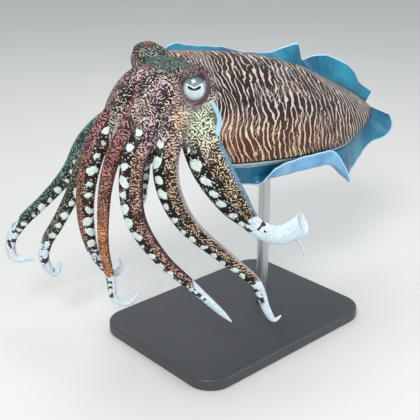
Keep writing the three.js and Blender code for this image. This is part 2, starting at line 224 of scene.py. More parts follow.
def makeMantle():
    lip = np.array(mantle["lipRows"])
    share = np.linspace(0, 1, mantle["steps"])
    outer = 1 - (1 - mantle["rim"]) * (1 - share) ** mantle["crowding"]
    t = np.concatenate([np.full(len(lip), mantle["rim"]), outer])
    scale = np.concatenate([lip[:, 1], np.ones(len(outer))])
    back = np.concatenate([lip[:, 0], np.zeros(len(outer))])
    bm = tube(mantle["sides"], len(t) - 1)

    def place(step, turn):
        i = step.round().astype(int)
        return mantleFront + mantlePoints(t[i], turn, scale[i], back[i]) @ mantleTurn.T

    step, turn = bend(bm, place)
    i = step.round().astype(int)
    obj = meshObject("mantle_part", bm, "mantle_skin")
    # distance round the body from the middle of the back, found once on the widest section
    angles = np.linspace(0, 2 * math.pi, 721)
    section = mantlePoints(np.full(len(angles), mantle["widest"]), angles)[:, 1:]
    arc = np.concatenate([[0], np.cumsum(np.linalg.norm(np.diff(section, axis=0), axis=1))])
    arc -= np.interp(math.pi / 2, angles, arc)
    width = valuesAlong(mantle["rows"], t[i])[:, 0]
    girth = np.interp(turn, angles, arc) * width
    along = np.linspace(-0.4, 1.1, 500)
    spacing = valuesAlong(mantle["lineRows"], along)[:, 0] / mantle["length"]
    lines = np.cumsum((along[1] - along[0]) / spacing)
    slant = valuesAlong(mantle["slantRows"], np.degrees(turn))[:, 0] * (1 - ramp(0.6, 1, t[i]))
    count = np.interp(t[i] - slant / mantle["length"], along, lines)
    note(obj.data, "zebraPlace", np.stack([count, girth / mantle["roundScale"], 0 * turn], axis=1))
    # distance up the flank from the nearer fin's line, below zero on the belly
    rightFin, leftFin = np.interp((0, math.pi), angles, arc)
    fromFin = np.where(turn < math.pi / 2, girth - rightFin * width, leftFin * width - girth)
    fromFin = np.where(np.sin(turn) > 0, fromFin, -np.abs(fromFin))
    note(obj.data, "bodyPlace", np.stack([t[i], fromFin, np.sin(turn)], axis=1))
    note(obj.data, "rimDistance", np.where(i < len(lip), 0.0, (t[i] - mantle["rim"]) * mantle["length"]))
    print("mantle", len(obj.data.polygons))
    return obj


# Head and arms

head = {
    "centre": (-91, 11, 264), "yaw": 3, "bank": 8, "droop": 5, "sides": 64, "stepsPerRow": 5,
    # place forward, aside and up, tilt and twist of the section, half width and half height
    "rows": [(-48, -10, -26, -10, 30, 48, 27), (-28, -11, -20, -4, 28, 52, 31),
             (-11, -9, -14, 4, 20, 48, 36), (5, -6, -9, 14, 11, 42, 38), (19, -3, -11, 26, 5, 38, 37),
             (33, 0, -19, 40, 0, 36, 33),
             (44, 0, -34, 54, 0, 33, 29), (51, 0, -50, 64, 0, 27, 24), (55, 0, -62, 68, 0, 17, 15)],
    "skinVoxel": 1.55, "smoothing": 3,
}
headTurn = spin("Z", head["yaw"]) @ spin("Y", -head["droop"]) @ spin("X", head["bank"])
headCentre = np.array(head["centre"], float)

eye = {
    "twist": 5, "place": (31.5, 0.5, 12), "radius": 16, "inset": 0.15, "brow": (26, -1, 9),
    "browRadius": 18.9, "coverRadius": 17.2, "up": (0.243, -0.289, 0.925),
    # the near eye looks at the camera, the far one off to its own side
    "aims": {-1: (-0.655, -0.655, 0.377), 1: (-0.25, 0.92, 0.3)},
    # lids, in millimetres, with places told as past the opening's edge
    "fineReach": 22, "lidReach": 26, "lidThickness": 1.35, "lidEdge": (-0.5, 0.5), "lidSlope": (1.2, 3.0),
    "slopeDepth": 0.25, "foldPlace": 3.4, "foldDepth": 0.9, "skinFrom": (2.0, 5.5), "socketDepth": 1.6,
    # the opening's edge as seen face on, by degrees round its middle from the rear corner over the top
    "openingMiddle": (-0.12, -0.05),
    "opening": [(-180, 0.735), (-148, 0.8), (-124, 0.83), (-102, 0.83), (-78, 0.82), (-45, 0.78),
                (-2, 0.73), (23, 0.76), (45, 0.83), (59, 0.84), (68, 0.66), (80, 0.48), (100, 0.45),
                (120, 0.5), (142, 0.59), (165, 0.67), (180, 0.735)],
}

nearFace, frontFace = (-0.67, -0.74, 0), (-0.93, -0.37, 0)


def plainArm(root, upper, middle, end):  # share of length, half width, half thickness, curl of the edges
    return [(0, root, root * 0.8, 0), (0.3, upper, upper * 0.64, 0), (0.6, middle, middle * 0.6, 0),
            (0.85, end, end * 0.7, 0), (0.94, end * 0.75, end * 0.55, 0), (1, 0.7, 0.7, 0)]


# Each arm: its route, the way its outer face looks, its rows, where its fine end begins, the side and
# strength of its row of blotches, and the dark and pale colours of its broad face and of its other edge
arms = {
    "left_1": {
        "route": [(-112, -8, 268), (-140, -6, 252), (-159, 1, 223), (-167, 9, 191), (-169, 15, 153),
                  (-167, 19, 120), (-161, 19, 86), (-158, 19, 66), (-148, 13, 60), (-138, 6, 71)],
        "face": nearFace, "rows": plainArm(8.5, 6.9, 5.2, 4), "fine": 0.84, "blotches": (-1, 0.0),
        "dark": (70, 38, 36), "pale": (184, 138, 122), "edge": (92, 26, 32), "win": -0.3,
        "lowDark": (122, 68, 44), "lowPale": (206, 154, 110),
    },
    "right_1": {
        "route": [(-112, 18, 266), (-139, 22, 250), (-158, 26, 228), (-172, 31, 190), (-174, 36, 155),
                  (-168, 39, 118), (-157, 39, 93), (-145, 36, 82), (-137, 35, 88), (-137, 38, 95)],
        "face": frontFace, "rows": plainArm(10.5, 10.2, 8.6, 4.4), "fine": 0.84, "blotches": (1, 1.0),
        "dark": (64, 30, 24), "pale": (190, 142, 114), "edge": (84, 24, 24),
    },
    "left_2": {
        "route": [(-112, -14, 256), (-138, -18, 240), (-155, -18, 218), (-161, -18, 190), (-158, -20, 158),
                  (-139, -30, 119), (-118, -44, 92), (-84, -65, 48)],
        "face": nearFace, "rows": plainArm(11, 10.6, 7.4, 4.2), "fine": 0.84, "blotches": (-1, 1.0),
        "dark": (48, 25, 25), "pale": (200, 160, 144), "edge": (58, 26, 32),
    },
    "right_2": {
        "route": [(-112, 22, 252), (-134, 46, 230), (-147, 63, 200), (-162, 76, 156), (-174, 85, 129),
                  (-184, 94, 106), (-185, 98, 86), (-177, 94, 72), (-171, 90, 84)],
        "face": frontFace, "rows": plainArm(10.5, 10.2, 7, 5.6), "fine": 0.84, "blotches": (1, 1.0),
        # its dark, pale and edge colours are its own grey colours, darkened with painted shade because this
        # far arm lies in shade
        "dark": (36, 36, 34), "pale": (146, 140, 122), "edge": (60, 74, 84),
    },
    "left_3": {
        "route": [(-104, -16, 250), (-122, -28, 236), (-133, -32, 214), (-134, -36, 187), (-121, -44, 153),
                  (-89, -63, 115), (-65, -77, 87), (-52, -81, 54), (-45, -84, 43), (-39, -87, 47)],
        "face": nearFace, "rows": plainArm(13, 10.8, 7.2, 4.6), "fine": 0.86, "blotches": (-1, 1.0),
        "dark": (20, 14, 12), "pale": (202, 174, 142), "edge": (188, 176, 176), "win": -0.5,
    },
    "right_3": {
        "route": [(-102, 26, 246), (-121, 62, 228), (-134, 88, 202), (-146, 104, 169), (-165, 120, 141),
                  (-185, 133, 119), (-196, 143, 97), (-195, 142, 79), (-179, 127, 76)],
        "face": frontFace, "rows": plainArm(10.5, 10.2, 6.8, 5.6), "fine": 0.84, "blotches": (1, 1.0),
        # its dark, pale and edge colours are its own grey-green colours, darkened with painted shade
        # because this far arm lies in shade
        "dark": (24, 38, 40), "pale": (118, 146, 138), "edge": (116, 146, 170),
    },
    "left_4": {
        "route": [(-92, -26, 238), (-104, -50, 216), (-100, -66, 191), (-85, -76, 164), (-69, -85, 145),
                  (-52, -94, 138), (-36, -99, 142), (-24, -103, 148)],
        "face": nearFace, "fine": 0.56, "blotches": (-1, 1.0),
        "rows": [(0, 18, 13, 0), (0.25, 17.5, 8.5, 0), (0.5, 14, 5, 0.1), (0.66, 8.4, 4.2, 0.05),
                 (0.8, 9.2, 5.4, 0), (0.9, 10.2, 6.4, 0), (1, 11.2, 7, 0)],
        "dark": (20, 14, 12), "pale": (206, 180, 148), "edge": (104, 152, 184), "win": -0.45,
    },
    "right_4": {
        "route": [(-92, 30, 238), (-96, 46, 214), (-95, 58, 186), (-92, 64, 158), (-86, 72, 134),
                  (-76, 84, 122), (-64, 94, 122), (-56, 99, 128)],
        "face": nearFace, "fine": 0.56, "blotches": (1, 1.0),
        "rows": [(0, 13, 10, 0), (0.25, 14, 7, 0), (0.5, 12, 5, 0.1), (0.7, 8, 3.4, 0.3),
                 (0.85, 6, 1.8, 0.6), (1, 3, 0.8, 0.8)],
        "dark": (36, 30, 26), "pale": (170, 150, 122), "edge": (104, 152, 184),
    },
}
curlFilament = {
    "route": [(-46, -95, 134), (-37, -99, 132), (-31, -101, 124), (-26, -101, 112)],
    "face": nearFace, "rows": [(0, 2.4, 2.4, 0), (1, 0.7, 0.7, 0)],
}


def smoothRoute(route, perSpan=60):  # centripetal Catmull-Rom through the route
    points = [np.array(p, float) for p in route]
    points = [2 * points[0] - points[1], *points, 2 * points[-1] - points[-2]]
    curve = []
    for before, start, end, after in zip(points, points[1:], points[2:], points[3:]):
        gaps = [math.sqrt(np.linalg.norm(b - a)) for a, b in ((before, start), (start, end), (end, after))]
        rise = end - start
        leave = (start - before) / gaps[0] - (end - before) / (gaps[0] + gaps[1]) + rise / gaps[1]
        reach = rise / gaps[1] - (after - start) / (gaps[1] + gaps[2]) + (after - end) / gaps[2]
        leave, reach = leave * gaps[1], reach * gaps[1]
        for u in np.linspace(0, 1, perSpan, endpoint=False):
            curve.append(start + leave * u + (3 * rise - 2 * leave - reach) * u**2
                         + (leave + reach - 2 * rise) * u**3)
    return np.array(curve + [points[-2]])


def armTable(arm, count=160):  # centreline, directions and sizes at equal steps along an arm
    curve = smoothRoute(arm["route"])
    run = np.concatenate([[0], np.cumsum(np.linalg.norm(np.diff(curve, axis=0), axis=1))])
    share = np.linspace(0, 1, count)
    at = np.stack([np.interp(share * run[-1], run, curve[:, k]) for k in range(3)], axis=1)
    forward = unit(np.gradient(at, axis=0))
    face = np.array(arm["face"], float)
    outward = unit(face - forward * (forward @ face)[:, None])
    across = np.cross(outward, forward)
    sizes = valuesAlong(arm["rows"], share)
    return {"share": share, "length": run[-1], "at": at, "forward": forward, "outward": outward,
            "across": across, "sizes": sizes}


def tableAt(table, key, share):
    return np.stack([np.interp(share, table["share"], table[key][:, k]) for k in range(3)], axis=-1)


def armPoints(table, share, turn, grow=0.0):
    across, outward = unit(tableAt(table, "across", share)), unit(tableAt(table, "outward", share))
    halfWidth, halfThickness, curl = tableAt(table, "sizes", share).T
    side = (halfWidth + grow) * np.cos(turn)
    rise = (halfThickness + grow) * np.sin(turn) - curl * halfWidth * np.cos(turn) ** 2
    return tableAt(table, "at", share) + across * side[:, None] + outward * rise[:, None]


armTables = {name: armTable(arm) for name, arm in arms.items()}


# Arms' tubes: spacing of rings and number of sides; the overlap of a rough arm past its fine end's start,
# how near that start the skin is cut, and the strip that joins them; and where an arm is free of the
# others, by its share, by the next arm's distance and by its own
tubes = {
    "rough": (3, 32), "end": (1.6, 26), "horn": (1.2, 40), "thread": (1.6, 12),
    "overlap": 5, "cutReach": 14, "strip": 1.2,
    "freeShare": (0.16, 0.26), "freeGap": (1.5, 1.9), "own": 1.35,
}


def armTube(table, start, end, spacing, sides):
    steps = max(4, round((end - start) * table["length"] / spacing))
    bm = tube(sides, steps)
    bend(bm, lambda step, turn: armPoints(table, start + (end - start) * step / steps, turn))
    return bm


# the horn's wall in millimetres, then shares: how deep it is hollow, its mouth's slant, where it is white
horn = {"arm": "left_4", "wall": 0.9, "depth": 0.45, "slant": 0.075, "white": 0.68}


def hornTube(table, start, spacing, sides):  # an arm's end rolled into a horn, open at a slanting mouth
    outer = round((1 - start) * table["length"] / spacing)
    inner = round(outer * horn["depth"])

    def place(step, turn):
        inside = step > outer + 0.5
        run = np.where(inside, 1 - (step - outer - 0.5) / outer, step / outer)
        end = 1 - horn["slant"] * (0.5 + 0.5 * np.sin(turn))
        return armPoints(table, start + (end - start) * run, turn, np.where(inside, -horn["wall"], 0))

    bm = tube(sides, outer + inner)
    bend(bm, place)
    return bm


def addTo(bm, other):  # joins a bmesh into another
    mesh = bpy.data.meshes.new("joining")
    other.to_mesh(mesh)
    other.free()
    bm.from_mesh(mesh)
    bpy.data.meshes.remove(mesh)


def headPoints(step, turn):
    rows = np.array(head["rows"], float)
    place = step / head["stepsPerRow"]
    values = valuesAlong([(i, *row) for i, row in enumerate(rows)], place)
    points = []
    for (forward, aside, up, tilt, twist, halfWidth, halfHeight), angle in zip(values, turn):
        section = spin("Y", -tilt) @ spin("X", twist)
        points.append(section @ (0, -halfWidth * math.cos(angle), halfHeight * math.sin(angle))
                      + (-forward, aside, up))
    return headCentre + np.array(points) @ headTurn.T


def onHead(place, side):  # a ball's centre from its place aside, forward and up
    own = spin("X", eye["twist"]) @ (-place[1], side * place[0], place[2])
    return headCentre + headTurn @ own


def eyeAxes(side):  # to the rear, up and out of the eye
    aim = unit(headTurn @ np.array(eye["aims"][side]))
    up = headTurn @ (np.array(eye["up"]) * (1, side, 1))
    up = unit(up - aim * (up @ aim))
    return -side * np.cross(up, aim), up, aim


def fleshSkin():  # head, brows and arms grown into one closed skin
    bm = tube(head["sides"], head["stepsPerRow"] * (len(head["rows"]) - 1))
    bend(bm, headPoints)
    for side in (-1, 1):
        for radius, place in ((eye["browRadius"], eye["brow"]), (eye["coverRadius"], eye["place"])):
            bmesh.ops.create_icosphere(bm, subdivisions=5, radius=radius,
                                       matrix=Matrix.Translation(onHead(place, side)))
    for name, arm in arms.items():
        table = armTables[name]
        addTo(bm, armTube(table, 0, arm["fine"] + tubes["overlap"] / table["length"], *tubes["rough"]))
    obj = meshObject("head_part", bm, "head_skin")
    remesh = obj.modifiers.new("one_skin", "REMESH")
    remesh.mode = "VOXEL"
    remesh.voxel_size = head["skinVoxel"] * mm
    grown = bpy.data.meshes.new_from_object(obj.evaluated_get(bpy.context.evaluated_depsgraph_get()))
    obj.modifiers.clear()
    obj.data = grown
    print("skin", len(grown.polygons))
    return obj


def armFits(points):
    # how points lie to each arm: share, across, outward and distance from its centreline in half widths;
    # and each point's nearest arm and its distances in order
    fits = {}
    for name, table in armTables.items():
        gap = ((points**2).sum(1)[:, None] - 2 * points @ table["at"].T + (table["at"] ** 2).sum(1)[None])
        i = gap.argmin(1)
        away = points - table["at"][i]
        run = (away * table["forward"][i]).sum(1)
        share = table["share"][i] + run / table["length"]
        away = away - table["forward"][i] * run[:, None]
        halfWidth, halfThickness, curl = table["sizes"][i].T
        across = (away * table["across"][i]).sum(1) / halfWidth
        outward = (away * table["outward"][i]).sum(1) + curl * halfWidth * np.minimum(across**2, 1)
        outward /= halfThickness
        distance = np.hypot(across, outward) + np.clip(np.abs(run) - 4, 0, None) / halfWidth
        fits[name] = {"share": share, "across": across, "outward": outward, "distance": distance,
                      "index": i}
    distance = np.stack([fit["distance"] for fit in fits.values()], axis=1)
    return fits, distance.argmin(1), np.sort(distance, axis=1)


def shapeSkin(obj):
    # smooths the skin, brings free arm lengths back to their exact section, and joins their fine ends on
    bm = bmesh.new()
    bm.from_mesh(obj.data)
    for _ in range(head["smoothing"]):
        bmesh.ops.smooth_vert(bm, verts=bm.verts, factor=0.5, use_axis_x=True, use_axis_y=True,
                              use_axis_z=True)
    points = (pointsOf(bm) - shift) / mm
    fits, nearest, order = armFits(points)
    for k, name in enumerate(arms):
        fit, table = fits[name], armTables[name]
        free = (nearest == k) * (fit["distance"] < tubes["own"])
        free = free * ramp(*tubes["freeShare"], fit["share"]) * ramp(*tubes["freeGap"], order[:, 1])
        turn = np.arctan2(fit["outward"], fit["across"])
        exact = armPoints(table, fit["share"], turn)
        points += (exact - points) * free[:, None]
    moveTo(bm, points)
    bm.verts.ensure_lookup_table()
    for k, name in enumerate(arms):
        fit, table, cut = fits[name], armTables[name], arms[name]["fine"]
        local = (nearest == k) & (np.abs(fit["share"] - cut) * table["length"] < tubes["cutReach"])
        local = set(np.nonzero(local)[0].tolist())
        verts = {vert for vert in bm.verts if vert.index in local}
        faces = {face for vert in verts for face in vert.link_faces}
        geom = list(verts) + list({edge for face in faces for edge in face.edges}) + list(faces)
        middle, normal = Vector(tableAt(table, "at", cut)), Vector(tableAt(table, "forward", cut))
        sliced = bmesh.ops.bisect_plane(bm, geom=geom, plane_co=middle, plane_no=normal, clear_outer=True)
        edge = [part for part in only(sliced["geom_cut"], bmesh.types.BMEdge) if part.is_boundary]
        start = cut + tubes["strip"] / table["length"]
        if name == horn["arm"]:
            fine = hornTube(table, start, *tubes["horn"])
        else:
            fine = armTube(table, start, 1, *tubes["end"])
        first = min(fine.faces, key=lambda face: (face.calc_center_median() - middle).length)
        bmesh.ops.delete(fine, geom=[first], context="FACES_ONLY")
        old = set(bm.edges)
        addTo(bm, fine)
        mouth = [line for line in bm.edges if line not in old and line.is_boundary]
        bmesh.ops.bridge_loops(bm, edges=edge + mouth)
        print("arm", name, len(edge), len(mouth))
    addTo(bm, armTube(armTable(curlFilament), 0, 1, *tubes["thread"]))
    faceOut(bm)
    bm.to_mesh(obj.data)
    bm.free()


def pastLid(direction, rear, up):
    # for directions from an eye's centre: places across and up from its opening's middle, and millimetres
    # past the opening's edge
    x = direction @ rear - eye["openingMiddle"][0]
    y = direction @ up - eye["openingMiddle"][1]
    edge = valuesAlong(eye["opening"], np.degrees(np.arctan2(y, x)))[:, 0]
    return x, y, (np.hypot(x, y) - edge) * eye["radius"]


def carveEyes(obj):
    # opens the lids over each eye, with a rolled edge and a fold behind it
    bm = bmesh.new()
    bm.from_mesh(obj.data)
    for side in (-1, 1):
        centre = onHead(eye["place"], side)
        rear, up, aim = eyeAxes(side)
        middle, facing = Vector(centre), Vector(aim)
        zone = [edge for edge in bm.edges
                if all((middle - vert.co).length < eye["fineReach"] and (vert.co - middle).dot(facing) > -3
                       for vert in edge.verts)]
        bmesh.ops.subdivide_edges(bm, edges=zone, cuts=1, use_grid_fill=True)
        verts = [vert for vert in bm.verts
                 if (vert.co - middle).length <= eye["lidReach"] and (vert.co - middle).dot(facing) >= 0]
        away = np.array([vert.co[:] for vert in verts]) - centre
        reach = np.linalg.norm(away, axis=1)
        direction = away / reach[:, None]
        outside = pastLid(direction, rear, up)[2]
        lid = ramp(*eye["lidEdge"], outside)
        roll = eye["radius"] + eye["lidThickness"] - eye["slopeDepth"] * ramp(*eye["lidSlope"], outside)
        fold = -eye["foldDepth"] * np.exp(-((outside - eye["foldPlace"]) / eye["foldDepth"]) ** 2)
        keep = ramp(*eye["skinFrom"], outside)
        height = (roll + fold) * (1 - keep) + np.maximum(reach, roll + fold) * keep + fold * keep * 0.5
        height = height * lid + (eye["radius"] - eye["socketDepth"]) * (1 - lid)
        for vert, point in zip(verts, centre + direction * height[:, None]):
            vert.co = point
    bm.to_mesh(obj.data)
    bm.free()


# Places on the head, as millimetres back, aside (to the left) and up of its centre
headBands = {  # soft bands between the arms' roots, as they run up over the head
    "ridge": {"line": [(-26, -1, 24), (-38, 5, 19), (-53, 11, 5), (-65, 13, -11), (-75, 14, -28),
                       (-82, 12, -49)],
              "width": 2.2, "dark": (74, 30, 46), "pale": (176, 122, 138), "strength": 0.8},
    "groove": {"line": [(-32, 23, 17), (-41, 27, 4), (-54, 33, -11), (-60, 38, -22), (-64, 39, -32)],
               "width": 3.0, "dark": (66, 30, 56), "pale": (190, 150, 172), "strength": 0.6},
    "strip": {"line": [(-20, 30, 16), (-25, 36, 8), (-27, 40, -3), (-39, 49, -16), (-47, 53, -30)],
              "width": 4.4, "dark": (112, 52, 44), "pale": (210, 190, 172), "strength": 0.5},
}
headZones = {  # soft patches: place, reach, dark and pale colours, and how far pale wins over dark
    "cheek": {"place": (-12, 56, -16), "reach": 27, "dark": (74, 58, 42), "pale": (206, 222, 192),
              "win": 0.24},
    "frontCheek": {"place": (-28, 46, -10), "reach": 11, "dark": (104, 56, 46), "pale": (208, 194, 168),
                   "win": 0.0},
    # the crown's teal-black is its own colour, and its green pale lines are painted highlights
    "crown": {"place": (-8, 2, 26), "reach": 26, "dark": (9, 18, 20), "pale": (96, 124, 114), "win": -0.42},
    "brow": {"place": (0, 32, 30), "reach": 14, "dark": (28, 16, 18), "pale": (126, 104, 92), "win": -0.45},
    # the far brow's teal is partly its own colour and partly a painted sheen on the far bump; its brown
    # mottles are its own
    "farBrow": {"place": (2, -34, 24), "reach": 24, "dark": (14, 30, 32), "pale": (150, 152, 136),
                "win": -0.3},
    "farPatch": {"place": (-2, -26, 36), "reach": 9, "dark": (54, 20, 14), "pale": (150, 92, 70),
                 "win": -0.3},
}
headColours = {"dark": (20, 14, 19), "pale": (200, 184, 174), "lid": (112, 86, 102),
               "crescent": (86, 28, 48)}


def distanceToLine(points, line):
    best = np.full(len(points), 1e9)
    line = np.array(line, float)
    for a, b in zip(line, line[1:]):
        u = np.clip(((points - a) @ (b - a)) / ((b - a) @ (b - a)), 0, 1)
        best = np.minimum(best, np.linalg.norm(points - a - u[:, None] * (b - a), axis=1))
    return best


# The row of blotches: size in half widths and its growth to the tip, limits in millimetres, spacing in
# sizes, and its middle across the arm
blotches = {"size": 0.36, "growth": 0.7, "smallest": 1.9, "largest": 3.6, "spacing": 3.5, "middle": 0.6}
# How far pale lines win over dark ones
skinMix = {"head": -0.58, "arm": -0.46, "blotches": -0.2, "lid": -0.45, "bands": 0.3}


def colourSkin(obj):
    # notes on every point what the head and arm skin's material reads
    mesh = obj.data
    points = getPoints(mesh)
    fits, nearest, order = armFits(points)
    own = (points - headCentre) @ headTurn
    mirrored = own * (1, -1, 1)
    own[:, 1] = np.abs(own[:, 1])
    count = len(points)
    dark = np.tile(paint(headColours["dark"]), (count, 1))
    pale = np.tile(paint(headColours["pale"]), (count, 1))
    win, plain, share = np.full(count, skinMix["head"]), np.zeros(count), np.zeros(count)
    place = np.zeros((count, 3))
    blotch, tip, oral = np.zeros(count), np.zeros(count), np.zeros(count)

    def tint(darkColour, paleColour, amount, darkShade=1, paleShade=1):
        nonlocal dark, pale
        dark = dark + (paint(darkColour) * darkShade - dark) * amount[:, None]
        pale = pale + (paint(paleColour) * paleShade - pale) * amount[:, None]

    for name, zone in headZones.items():
        # far zones are told on the right side alone
        at = mirrored if name.startswith("far") else own
        weight = 1 - ramp(0.55, 1.15, np.linalg.norm(at - zone["place"], axis=1) / zone["reach"])
        tint(zone["dark"], zone["pale"], weight)
        win += (zone["win"] - win) * weight
    for k, (name, arm) in enumerate(arms.items()):
        fit, table = fits[name], armTables[name]
        mine = (nearest == k) & (fit["distance"] < 1.6)
        weight = mine * ramp(0.1, 0.26, fit["share"])
        outward, halfWidths = fit["outward"], table["sizes"][:, 0]
        side, amount = arm["blotches"]
        toBlotch = fit["across"] * side
        tint(arm["dark"], arm["pale"], weight)
        if "lowDark" in arm:
            tint(arm["lowDark"], arm["lowPale"], weight * ramp(0.45, 0.6, fit["share"]))
        tint(arm["edge"], arm["edge"], weight * ramp(0.72, 0.95, -toBlotch), darkShade=0.8)
        armWin = arm.get("win", skinMix["arm"]) + skinMix["blotches"] * ramp(0.0, 0.4, toBlotch)
        win += (armWin - win) * weight
        dotted = ramp(-0.12, 0.2, toBlotch) * ramp(-0.5, -0.2, outward) * amount
        blotch += (dotted - blotch) * mine * ramp(0.1, 0.2, fit["share"])
        last = 0.56 if name.endswith("_4") else 0.7
        tip += (ramp(last, last + 0.2, fit["share"]) - tip) * mine
        rolled = ramp(0.6, horn["white"], fit["share"]) * (name == horn["arm"])
        oral += ((1 - ramp(-0.6, -0.3, outward)) * (1 - rolled) - oral) * weight
        share += (fit["share"] - share) * mine
        # blotches keep to one row, and are counted along the arm
        sizes = halfWidths * blotches["size"] * (1 + blotches["growth"] * table["share"])
        sizes = np.clip(sizes, blotches["smallest"], blotches["largest"])
        run = table["length"] / (len(sizes) - 1)
        counts = np.cumsum(run / (sizes * blotches["spacing"]))
        row = np.interp(fit["share"], table["share"], counts)
        beside = toBlotch * np.where(rolled > 0.99, -1, 1) - blotches["middle"]
        beside *= halfWidths[fit["index"]] / sizes[fit["index"]]
        place[mine] = np.stack([row, beside, np.full(count, k)], axis=1)[mine]
    # bands keep their width as the eye's side of the head is looked at face on
    face = unit(np.array(eye["aims"][-1]) * (1, -1, 1))
    squash = np.eye(3) - 0.85 * np.outer(face, face)
    for band in headBands.values():
        away = distanceToLine(own @ squash, np.array(band["line"], float) @ squash)
        weight = 1 - ramp(0.35, 1.35, away / band["width"])
        tint(band["dark"], band["pale"], weight * band["strength"])
        win += skinMix["bands"] * weight
    thread = np.linalg.norm(points[:, None] - smoothRoute(curlFilament["route"], 12)[None], axis=2).min(1)
    tip = np.maximum(tip, ramp(5, 3, thread))
    oral = oral * ramp(3, 5, thread)
    groove = 1 - ramp(0.0, 0.3, order[:, 1] - order[:, 0])
    groove *= (order[:, 1] < 1.5) * (1 - ramp(0.2, 0.35, share))
    for side in (-1, 1):
        away = points - onHead(eye["place"], side)
        rear, up, aim = eyeAxes(side)
        direction = unit(away)
        x, y, outside = pastLid(direction, rear, up)
        near = (np.linalg.norm(away, axis=1) < 24) & (direction @ aim > -0.1)
        ring = near * (1 - ramp(0.8, 2.4, outside))
        crescent = near * (1 - ramp(1.6, 3.2, outside)) * ramp(0.1, 0.5, x - 0.1 * y)
        tint(headColours["crescent"], headColours["crescent"], crescent, paleShade=1.5)
        tint(headColours["lid"], headColours["lid"], ring * 0.75, darkShade=0.5)
        upper = near * (1 - ramp(3.0, 7.0, outside)) * ramp(0.15, 0.4, y) * (1 - ramp(0.3, 0.6, x))
        tint(headZones["brow"]["dark"], headZones["brow"]["pale"], upper * 0.8)
        win += (skinMix["lid"] - win) * upper
        plain = np.maximum(plain, np.maximum(ring * 0.5, crescent * 0.85))
    note(mesh, "darkColour", np.clip(dark, 0, 1))
    note(mesh, "paleColour", np.clip(pale, 0, 1))
    note(mesh, "spotPlace", place)
    note(mesh, "skinMix", np.stack([win, plain, groove], axis=1))
    note(mesh, "armMix", np.stack([blotch, tip, oral], axis=1))
    print("skin noted", count)


def makeFlesh():
    obj = fleshSkin()
    shapeSkin(obj)
    carveEyes(obj)
    colourSkin(obj)
    setPoints(obj.data, toFrame(getPoints(obj.data)))
    obj.data.materials.clear()
    coat(obj.data, "head_skin")
    return obj


# Funnel, open at its front

funnel = {
    "sides": 40, "steps": 24, "floor": 5, "flatness": 0.8, "inset": 0.3, "wall": 1.6, "lip": 0.4,
    "dark": (120, 132, 136), "pale": (196, 206, 208), "mix": (0.3, 0.7, 0.0),
    # places forward and up, and the radius
    "rows": [(-10, -17, 19), (8, -22, 17), (26, -28, 13), (42, -34, 9), (52, -38, 7.5)],
}


def makeFunnel():
    steps = funnel["steps"]
    rows = [(i / 4, *row) for i, row in enumerate(funnel["rows"])]

    def place(step, turn):
        out = step <= steps
        run = np.where(out, step / steps, 1 - (step - steps - 1) / steps)
        forward, up, radius = valuesAlong(rows, run).T
        radius = radius - np.where(out, funnel["inset"], funnel["wall"])
        forward = forward - np.where(np.abs(step - steps - 0.5) < 1, funnel["lip"], 0)
        rise = up + radius * funnel["flatness"] * np.sin(turn)
        return mantleFront + np.stack([-forward, -radius * np.cos(turn), rise], axis=1) @ mantleTurn.T

    bm = tube(funnel["sides"], 2 * steps - funnel["floor"])
    bend(bm, place)
    obj = meshObject("funnel_part", bm, "head_skin")
    for name, value in (("darkColour", paint(funnel["dark"])), ("paleColour", paint(funnel["pale"])),
                        ("skinMix", funnel["mix"])):
        note(obj.data, name, np.tile(value, (len(obj.data.vertices), 1)))
    return obj


# Fins

fins = {
    "rootThickness": 3.2, "edgeThickness": 1.1, "rootDepth": 5, "steps": 150, "strips": 21, "roll": 0.16,
    "ripple": 0.35, "ripplePeriod": 0.083,
    "sweep": [(0, 0.08), (0.5, 0.15), (0.8, 0.25), (0.9, 0.5), (0.95, 0.8), (1, 1.1)],
    # share of the mantle's length, width, lift of the root in radians, how far it rolls over, and where
    # in its width the roll is; the right fin's last two are those of a flat fin
    "flat": (0, 0.5),
    "left": [(-0.02, 5, -1.0, 0, 0.6), (0.05, 17, -1.0, 0, 0.6), (0.11, 19, -1.1, 0, 0.7),
             (0.14, 20, -1.1, 0.3, 0.7), (0.17, 24, -1.05, 2.2, 0.68), (0.21, 29, -1.05, 2.8, 0.58),
             (0.27, 31, -1.05, 2.95, 0.53), (0.37, 29, -0.95, 3.0, 0.5), (0.44, 28, -0.8, 2.9, 0.5),
             (0.5, 28.5, -0.77, 2.9, 0.5), (0.54, 30, -0.75, 2.9, 0.54), (0.565, 33, -0.74, 2.88, 0.61),
             (0.585, 36, -0.71, 2.8, 0.7), (0.6, 38, -0.66, 2.4, 0.8), (0.613, 38, -0.61, 1.2, 0.86),
             (0.63, 35, -0.61, 0, 0.86), (0.66, 34, -0.7, 0, 0.85), (0.75, 33, -0.87, 0, 0.85),
             (0.86, 29, -0.9, 0, 0.85), (0.915, 26, -0.7, 0, 0.85),
             (0.945, 32, -0.25, 0, 0.85), (0.965, 33, -0.1, 0, 0.85), (0.985, 26, 0.05, 0, 0.85)],
    "right": [(-0.02, 5, 0.3), (0.1, 20, 0.2), (0.18, 23, 0), (0.36, 25, -0.05), (0.46, 28, -0.2),
              (0.6, 28, -0.1), (0.66, 30, 0.26), (0.7, 33, 0.5), (0.755, 28, 0), (0.79, 30, 0.32),
              (0.84, 33, 0.45), (0.9, 33, 0.43), (0.93, 30, 0.32), (0.955, 27, 0.08), (0.985, 20, 0.2)],
}


